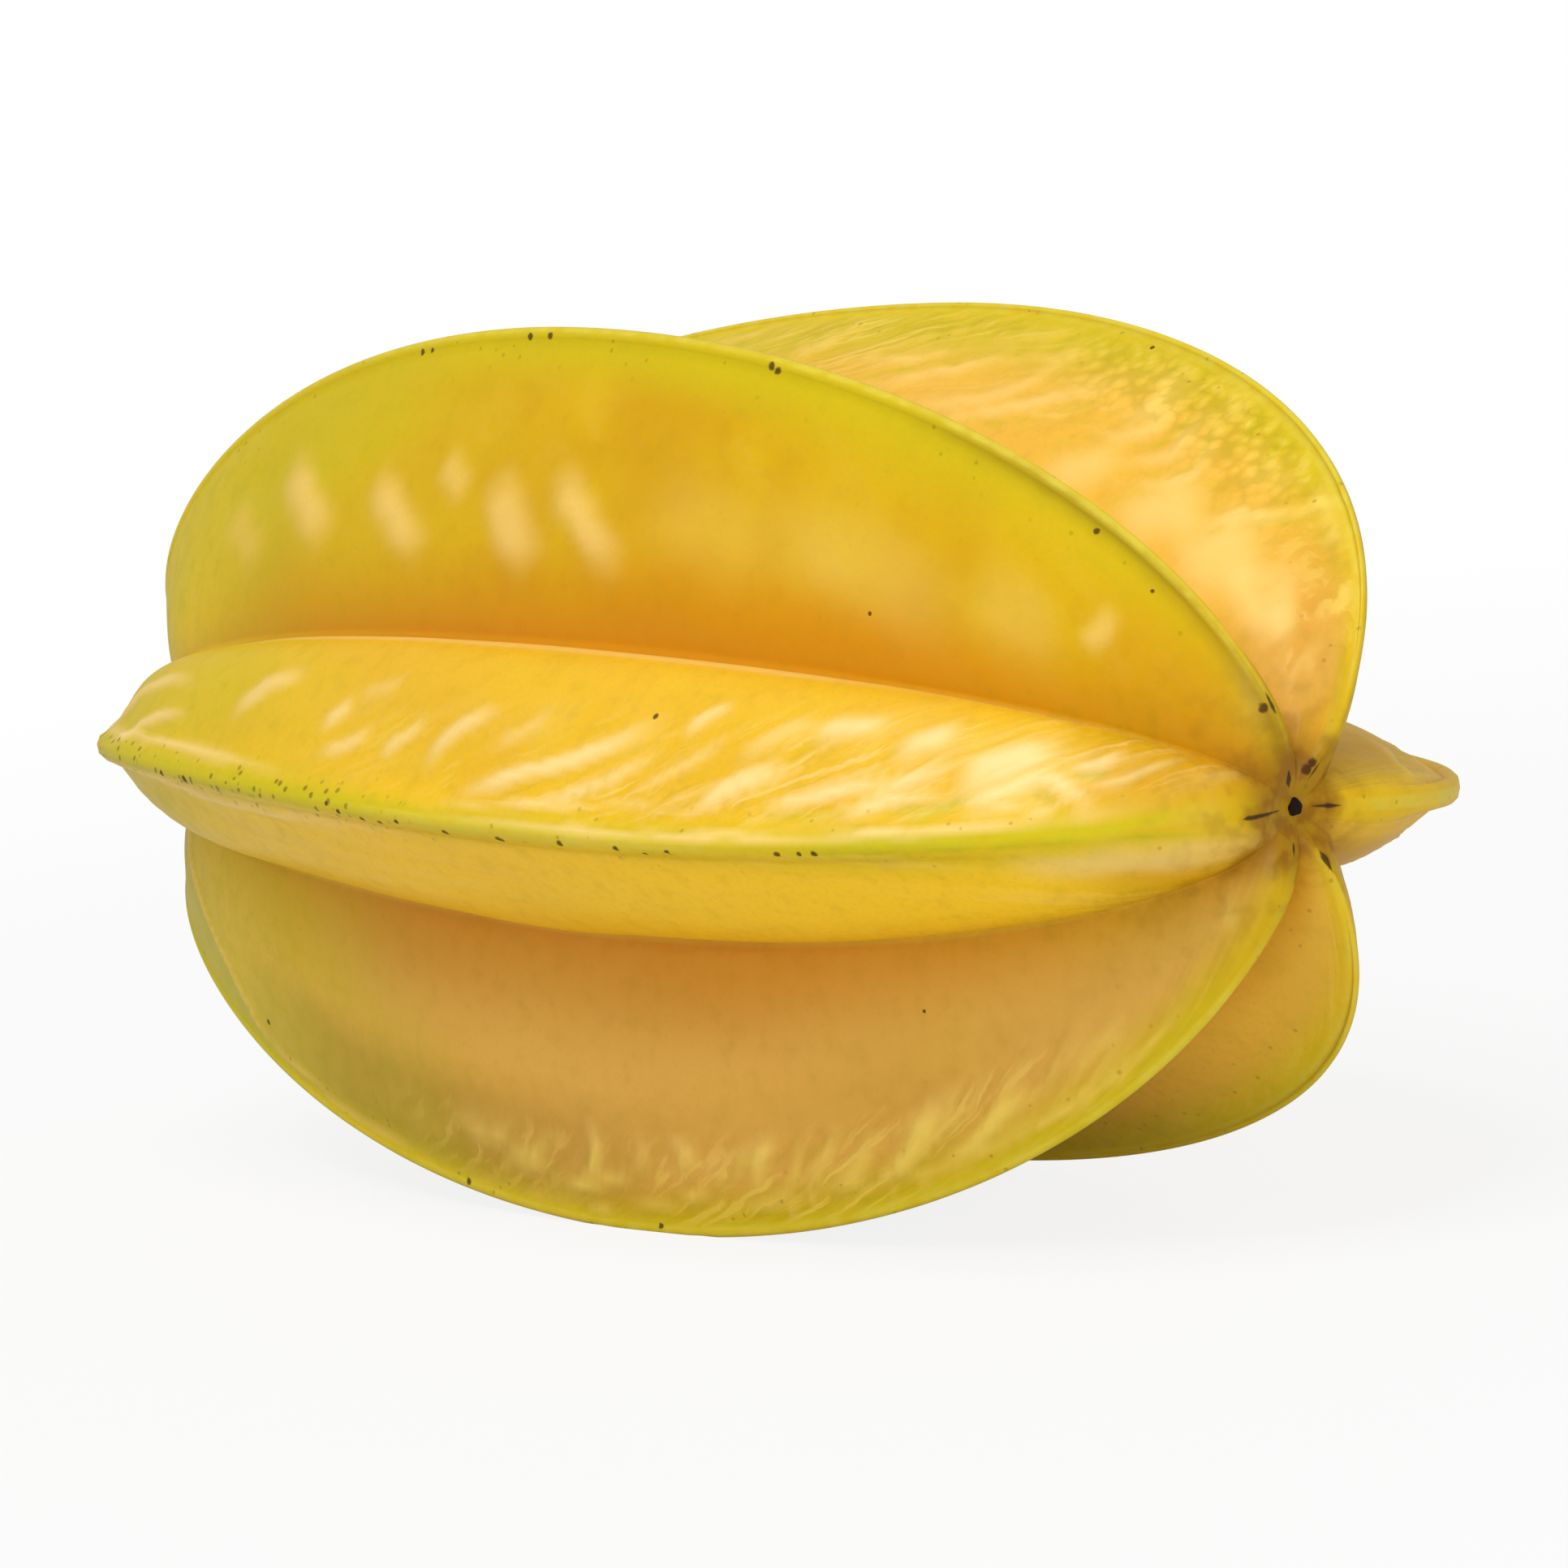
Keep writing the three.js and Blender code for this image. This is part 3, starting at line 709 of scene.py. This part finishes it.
class Paint:
    """A material under construction."""

    def __init__(self, name):
        self.material = bpy.data.materials.new(name)
        self.material.use_nodes = True
        self.nodes = self.material.node_tree.nodes
        self.links = self.material.node_tree.links
        self.surface = self.nodes["Principled BSDF"]

    def node(self, kind, settings, sockets, output=0):
        node = self.nodes.new(kind)
        for key, setting in settings.items():
            setattr(node, key, setting)
        self.fill(node, sockets)
        return Value(self, node.outputs[output])

    def fill(self, node, sockets):
        for key, content in sockets.items():
            if isinstance(content, Value):
                self.links.new(content.socket, node.inputs[key])
            else:
                node.inputs[key].default_value = content

    def attribute(self, name):
        return self.node("ShaderNodeAttribute", {"attribute_name": name}, {}, "Fac")

    def mix(self, share, first, second):
        """A colour that goes from first to second as share goes from 0 to 1."""
        settings = {"data_type": "RGBA", "clamp_factor": True}
        return self.node("ShaderNodeMix", settings, {0: share, 6: first, 7: second}, 2)

    def finish(self, sockets):
        self.fill(self.surface, sockets)
        return self.material


def srgb(red, green, blue):
    """A colour given as a screen shows it, 0 to 255, turned into the linear light shaders use."""
    shares = np.array([red, green, blue]) / 255
    linear = np.where(shares <= 0.04045, shares / 12.92, ((shares + 0.055) / 1.055) ** 2.4)
    return (*linear.tolist(), 1.0)


# %% [markdown]
# ## The skin's material
#
# The skin is thin, waxy and a little translucent. Golden yellow is the ground, and green, orange
# and the rest are blended over it by the shares from before, each loosened by noise, so that no
# colour has a clean edge. A thin smooth coat gives the wax its soft shine, and a little light
# travels under the surface.

# %% Skin colours and noises
GOLDEN = srgb(214, 170, 8)
GOLDEN_DEEP = srgb(206, 156, 6)
PAINTED_LIGHT_YELLOW = srgb(254, 204, 30)
GREEN = srgb(202, 185, 10)
ORANGE_FLESH_AND_SHADE = srgb(212, 138, 2)
FLESH = srgb(232, 176, 84)
PEACH = srgb(252, 212, 124)
LEMON = srgb(240, 210, 92)
CREAM = srgb(250, 220, 152)
CREST_AND_HIGHLIGHT = srgb(226, 206, 72)
SHADE_OLIVE = srgb(140, 108, 8)
OLIVE_GOLD = srgb(176, 150, 10)
BRONZE = srgb(150, 102, 10)
PORE = srgb(112, 88, 10)
BROWN = srgb(60, 26, 10)
BLACK_BROWN = srgb(30, 16, 10)


def texture(paint, place, scale, detail=2.0, rough=0.5):
    """Noise in the object's own space; scale is in features per metre."""
    sockets = {"Vector": place, "Scale": scale, "Detail": detail, "Roughness": rough}
    return paint.node("ShaderNodeTexNoise", {}, sockets, "Fac")


paint = Paint("fruit_skin")
place = paint.node("ShaderNodeTexCoord", {}, {}, "Object")
cloud = texture(paint, place, 90.0)
mottle = texture(paint, place, 600.0)
grain = texture(paint, place, 2200.0)

# %% The ground colours
green = paint.attribute("green")
green = green + (cloud + mottle - 1) * 0.3 * green.fade(0.0, 0.3)

colour = paint.mix(cloud.fade(0.35, 0.7), GOLDEN, GOLDEN_DEEP)
# Painted light: a brighter yellow where a flank lies in less light.
colour = paint.mix(paint.attribute("light"), colour, PAINTED_LIGHT_YELLOW)
colour = paint.mix(paint.attribute("flesh") + (grain - 0.5) * 0.25, colour, FLESH)
# Orange in the grooves: partly the flesh's own colour, partly painted shade in the creases.
colour = paint.mix(paint.attribute("orange") + (mottle - 0.5) * 0.15, colour, ORANGE_FLESH_AND_SHADE)
colour = paint.mix(green, colour, GREEN)
# Painted shade in olive, where the shares put it.
colour = paint.mix(paint.attribute("painted_shade") + (mottle - 0.5) * 0.2, colour, SHADE_OLIVE)
fine = grain.fade(0.45, 0.75) * 0.1 + mottle.fade(0.5, 0.8) * 0.06
colour = paint.mix(fine, colour, OLIVE_GOLD)

# %% [markdown]
# Fine streaks run along the ridges. They are noise too, but it is read at a bent place that is
# narrow across `flow` and long along `run`, so that it is drawn out the way the ridges run. Its
# dark side is olive, and its light side joins the pale skin and painted highlight of the raised
# ridges.

# %% Streaks, and pale ridges with painted highlight
bent = paint.node("ShaderNodeCombineXYZ", {}, {
    0: paint.attribute("flow") * 0.9 + mottle * 0.8,
    1: paint.attribute("run") * 0.2,
    2: cloud * 1.5,
})
streaks = paint.node("ShaderNodeTexNoise", {}, {"Vector": bent, "Scale": 1.3, "Detail": 3.0}, "Fac")
streak = paint.attribute("streak")
colour = paint.mix(streak * (1 - streaks.fade(0.36, 0.5)) * 0.55, colour, OLIVE_GOLD)

cream = paint.attribute("cream")
lemon_or_peach = paint.mix(cream.fade(0.0, 0.5), LEMON, PEACH)
# Pale ridges: partly paler skin, partly a painted highlight.
pale_and_highlight_colour = paint.mix(cream.fade(0.5, 1.0), lemon_or_peach, CREAM)
pale = (paint.attribute("pale") * 0.8).most(streak * streaks.fade(0.52, 0.64) * 0.9)
colour = paint.mix(pale, colour, pale_and_highlight_colour)

# %% [markdown]
# The pebbles are the dots of a Voronoi pattern, which has one dot in every cell of a grid. They
# are pale on top with olive between, and the place is shaken by noise first, so that they aren't
# in rows. The lighter line along a crest, partly its own colour and partly a painted highlight,
# and the bronze rim round the flower's scar come last.

# %% Pebbles, crest line with painted highlight, and rim
settings = {"operation": "MULTIPLY_ADD"}
shaken = paint.node("ShaderNodeVectorMath", settings, {
    0: paint.node("ShaderNodeTexNoise", {}, {"Vector": place, "Scale": 500.0}, "Color"),
    1: (0.0012, 0.0012, 0.0012),
    2: place,
}, "Vector")
cells = {"Vector": shaken, "Scale": 850.0}
pebble = paint.node("ShaderNodeTexVoronoi", {"feature": "F1"}, cells, "Distance")
pebbles = paint.attribute("pebbles")
colour = paint.mix(pebbles * (1 - pebble.fade(0.1, 0.45)) * 0.35, colour, LEMON)
colour = paint.mix(pebbles * pebble.fade(0.4, 0.75) * 0.4, colour, OLIVE_GOLD)

across = paint.attribute("across")
rim = paint.attribute("rim")
# A lighter line along each crest: partly its own colour, partly a painted highlight.
crest_line_and_highlight = (1 - across.fade(0.3, 0.6)) * (1 - rim) * paint.attribute("band")
colour = paint.mix(crest_line_and_highlight * (0.2 + mottle.fade(0.3, 0.7) * 0.4), colour, CREST_AND_HIGHLIGHT)
bronze = rim * (0.22 + rim.fade(0.7, 1.0) * 0.55 + mottle.fade(0.4, 0.7) * 0.35)
colour = paint.mix(bronze, colour, BRONZE)

# %% [markdown]
# Tiny pores pepper the crests and, more thinly, the rest, and darker freckles lie on the front
# rib's crest. They are dots of a Voronoi pattern too, but only cells whose random colour passes a
# limit get one.

# %% Pores
def dots(scale, size, limit):
    """1 in a dot of the given size in cells whose random number is over the limit."""
    settings = {"feature": "F1"}
    sockets = {"Vector": place, "Scale": scale}
    distance = paint.node("ShaderNodeTexVoronoi", settings, sockets, "Distance")
    cell = paint.node("ShaderNodeTexVoronoi", settings, sockets, "Color")
    chance = paint.node("ShaderNodeSeparateColor", {}, {"Color": cell}, "Red")
    return (1 - distance.fade(0.6 * size, size)) * chance.fade(limit, limit + 0.01)


pores = dots(1000.0, 0.22, 0.78) * (0.05 + (1 - across.fade(1.0, 3.0)) * 0.3)
pores = pores.most(dots(1200.0, 0.36, 0.5) * paint.attribute("freckles") * 0.7)
colour = paint.mix(pores, colour, PORE)

# %% [markdown]
# Rubbing and small wounds leave corky brown specks, most of them along the crests. Each is placed
# by flank, x and run, and its place is looked up on the finished grid. A speck's edge is loosened
# by noise so that none is a perfect disc, and so are the edges of the dashes round the dried tip.

# %% Specks and dashes
SPECKS = {  # x, run and size in millimetres
    (FRONT, 1): (
        (-37.0, 0.7, 0.36), (-32.8, 0.5, 0.38), (-10.5, 0.7, 0.28), (-7.6, 1.0, 0.34),
        (-5.8, 0.7, 0.28), (-3.1, 0.5, 0.28), (1.8, 1.1, 0.44), (8.1, 0.7, 0.5),
        (14.6, 0.7, 0.38), (20.2, 0.5, 0.3), (22.5, 0.9, 0.24), (24.9, 0.4, 0.26),
        (34.2, 0.4, 0.3), (35.6, 0.5, 0.24), (37.0, 0.5, 0.3),
    ),
    (FRONT, -1): ((-12.0, 0.2, 0.22), (19.4, 9.5, 0.28)),
    (UPPER_FRONT, 1): (
        (-17.4, 1.2, 0.3), (-15.9, 1.3, 0.26), (-4.3, 0.7, 0.34), (-2.2, 0.7, 0.34),
        (21.4, 0.8, 0.4), (22.2, 1.2, 0.36), (50.9, 1.3, 0.3), (54.9, 2.4, 0.19),
        (33.9, 15.4, 0.19), (61.4, 0.8, 0.42),
    ),
    (UPPER_BACK, 1): ((61.3, 1.7, 0.5), (61.45, 1.1, 0.42), (29.7, 1.5, 0.24)),
    (UPPER_BACK, -1): ((-8.0, 1.2, 0.4), (14.0, 0.5, 0.3)),
    (BACK, 1): ((-20.0, 0.6, 0.36),),
    (BACK, -1): ((6.0, 1.0, 0.42),),
    (LOWER_BACK, 1): ((-4.0, 0.8, 0.4),),
    (LOWER_FRONT, -1): (
        (-39.4, 3.8, 0.3), (-15.3, 1.0, 0.34), (6.4, 0.9, 0.32), (34.4, 12.9, 0.17),
    ),
}


def place_of(index, side, x, run):
    """The grid point of a flank that is nearest to the given x and run, in metres."""
    miss = np.hypot(skin["x"] - x, skin["run"] - run)
    miss = miss + 1e3 * ((skin["rib"] != index) | (skin["side"] * side < 0))
    return tuple(points[np.unravel_index(miss.argmin(), miss.shape)] * MM)


distances = []
for flank_key, specks in SPECKS.items():
    for *spot, size in specks:
        sockets = {0: place, 1: place_of(*flank_key, *spot)}
        distance = paint.node("ShaderNodeVectorMath", {"operation": "DISTANCE"}, sockets, "Value")
        distances.append(distance / (size * MM))
nearest = reduce(Value.least, distances)
speck = 1 - (nearest + (grain - 0.5) * 0.9).fade(0.55, 1.05)
colour = paint.mix(speck * 0.85, colour, BROWN)

dash = paint.attribute("dash")
dash = (dash - across * 4 + (mottle - 0.5) * 1.5).fade(0.0, 0.6) * dash.fade(0.0, 0.3)
colour = paint.mix(dash * 0.85, colour, BLACK_BROWN)
print(len(distances), "specks and", len(DASHES), "dashes")

# %% [markdown]
# The bumps are far too fine for the mesh: grain in the skin, cork that stands up in the specks,
# pores that sink, and the streaks and pebbles once more.

# %% Shine and fine bumps
height = grain * 0.35 + mottle * 0.65 + speck * 1.2 - pores * 0.8
height = height + streak * streaks.fade(0.35, 0.7) * 1.5 - pebbles * pebble.fade(0.1, 0.7) * 0.7
sockets = {"Strength": 0.25, "Distance": 0.22 * MM, "Height": height}
bump = paint.node("ShaderNodeBump", {}, sockets, "Normal")
fruit.data.materials.append(paint.finish({
    "Base Color": colour,
    "Roughness": 0.42 + (mottle - 0.5) * 0.12 + speck * 0.3,
    "Normal": bump,
    "Coat Weight": 0.04,
    "Coat Roughness": 0.2,
    "Specular IOR Level": 0.12,
    "Subsurface Weight": 0.08,
    "Subsurface Radius": (2.0 * MM, 1.0 * MM, 0.3 * MM),
    "Subsurface Scale": 1.0,
}))
print("the skin's material has", len(paint.nodes), "nodes")

# %% [markdown]
# ## The dried flower tip and the stalk's scar
#
# At the blossom end the style of the flower has dried to a black stub, a millimetre or so across.
# At the other end, deep in its pit, is the corky scar where the stalk came off. Both are turned
# shapes: an outline of (x, radius) pairs, smoothed, swept round the axis and made a little
# uneven. Each has a plain material of two mixed colours.

# %% How a turned piece is made
def turned(name, outline, uneven, seed):
    """A closed turned mesh. outline runs from its +X end to its -X end, in raw millimetres."""
    knots = np.array(outline, float)
    at = np.linspace(0, len(knots) - 1, 29)
    profile = np.stack([np.interp(at, np.arange(len(knots)), knots[:, k]) for k in (0, 1)], axis=-1)
    profile[1:-1] = (profile[:-2] + 2 * profile[1:-1] + profile[2:]) / 4
    turn = np.linspace(0, 2 * np.pi, 48, endpoint=False)
    wave = 1 + uneven * noise(1.5 * np.cos(turn) + 9, 1.5 * np.sin(turn) + 9, seed)
    radius = profile[:, 1:] * wave
    x = profile[:, :1] + 0 * turn
    raw = np.stack([x, radius * np.cos(turn), radius * np.sin(turn)], axis=-1)
    piece = grid_mesh(name, (raw - raw_middle) * scale + raw_shift, {})
    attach(piece, "root")
    return piece


def plain_paint(name, first, second, scale, rough):
    """Two colours mixed by noise, with fine bumps."""
    paint = Paint(name)
    place = paint.node("ShaderNodeTexCoord", {}, {}, "Object")
    share = texture(paint, place, scale, 4.0, 0.6)
    sockets = {"Strength": 0.6, "Distance": 0.2 * MM, "Height": share}
    bump = paint.node("ShaderNodeBump", {}, sockets, "Normal")
    colour = paint.mix(share.fade(0.35, 0.65), first, second)
    return paint.finish({
        "Base Color": colour, "Roughness": rough, "Normal": bump, "Specular IOR Level": 0.2,
    })


# %% The style's stub and the scar
pole_x, pit_x = skin["x"][0].mean(), skin["x"][-1].mean()
style = turned("dried_style", (
    (pole_x + 0.35, 0.1), (pole_x + 0.3, 0.4), (pole_x + 0.15, 0.58), (pole_x - 0.1, 0.62),
    (pole_x - 0.6, 0.62), (pole_x - 0.9, 0.3),
), 0.2, 301)
dry = plain_paint("dried_style", srgb(14, 8, 6), srgb(38, 20, 12), 3000.0, 0.9)
style.data.materials.append(dry)
scar = turned("stalk_scar", (
    (pit_x + 1.6, 1.2), (pit_x + 1.2, 2.0), (pit_x, 2.3), (pit_x - 0.5, 2.1), (pit_x - 0.7, 1.5),
    (pit_x - 0.35, 0.8), (pit_x - 0.3, 0.1),
), 0.12, 302)
cork = plain_paint("stalk_scar", srgb(120, 92, 52), srgb(72, 50, 28), 1500.0, 0.85)
scar.data.materials.append(cork)

# %% [markdown]
# ## The floor, the background and the light
#
# A plain white floor runs out of sight. Most of what the camera sees of it is plain white, and
# the rest still takes the fruit's shadow. Light that bounces off the floor onto the fruit sees
# only its pale grey. The fruit is lit by a white sky all round, a large soft lamp above and in
# front of it, and a weaker low one beyond the blossom end.

# %% Floor
FLOOR_HALF = 9.0
corners = np.array([(-1, -1, 0), (1, -1, 0), (1, 1, 0), (-1, 1, 0)]) * FLOOR_HALF
floor_mesh = bpy.data.meshes.new("floor")
floor_mesh.from_pydata(corners.tolist(), [], [(0, 1, 2, 3)])
floor = bpy.data.objects.new("floor", floor_mesh)
bpy.context.collection.objects.link(floor)
floor_paint = Paint("floor")
seen = floor_paint.node("ShaderNodeLightPath", {}, {}, "Is Camera Ray")
seen = seen.most(floor_paint.node("ShaderNodeLightPath", {}, {}, "Is Transmission Ray"))
floor_place = floor_paint.node("ShaderNodeTexCoord", {}, {}, "Object")
away = floor_paint.node("ShaderNodeVectorMath", {"operation": "LENGTH"}, {0: floor_place}, "Value")
white = floor_paint.node("ShaderNodeEmission", {}, {"Color": (1, 1, 1, 1), "Strength": 1.0})
cover = floor_paint.finish({"Base Color": (0.7, 0.7, 0.7, 1), "Roughness": 0.6})
share = seen * (0.86 + away.fade(0.08, 0.35) * 0.14)
mixed = floor_paint.node("ShaderNodeMixShader", {}, {
    0: share, 1: Value(floor_paint, floor_paint.surface.outputs[0]), 2: white,
})
floor_paint.links.new(mixed.socket, floor_paint.nodes["Material Output"].inputs["Surface"])
floor_mesh.materials.append(cover)

# %% Sky and lamp
world = bpy.data.worlds.new("world")
bpy.context.scene.world = world
world.use_nodes = True
sky = world.node_tree.nodes["Background"]
sky.inputs["Color"].default_value = (1, 1, 1, 1)
sky.inputs["Strength"].default_value = 0.5


def softbox(name, place, size, power):
    """A square lamp that faces the middle of the fruit."""
    lamp = bpy.data.lights.new(name, "AREA")
    lamp.size = size
    lamp.energy = power
    thing = bpy.data.objects.new(name, lamp)
    bpy.context.collection.objects.link(thing)
    thing.location = place
    thing.rotation_mode = "QUATERNION"
    thing.rotation_quaternion = (Vector(place) - middle).to_track_quat("Z", "Y")
    return thing


softbox("key", (0.05, -0.35, 0.8), 0.45, 4.3)
softbox("fill", (0.85, -0.4, 0.12), 0.45, 3.4)
bpy.context.scene.view_settings.view_transform = "Standard"
print("sky at", sky.inputs["Strength"].default_value, "and", len(bpy.data.lights), "lamps")
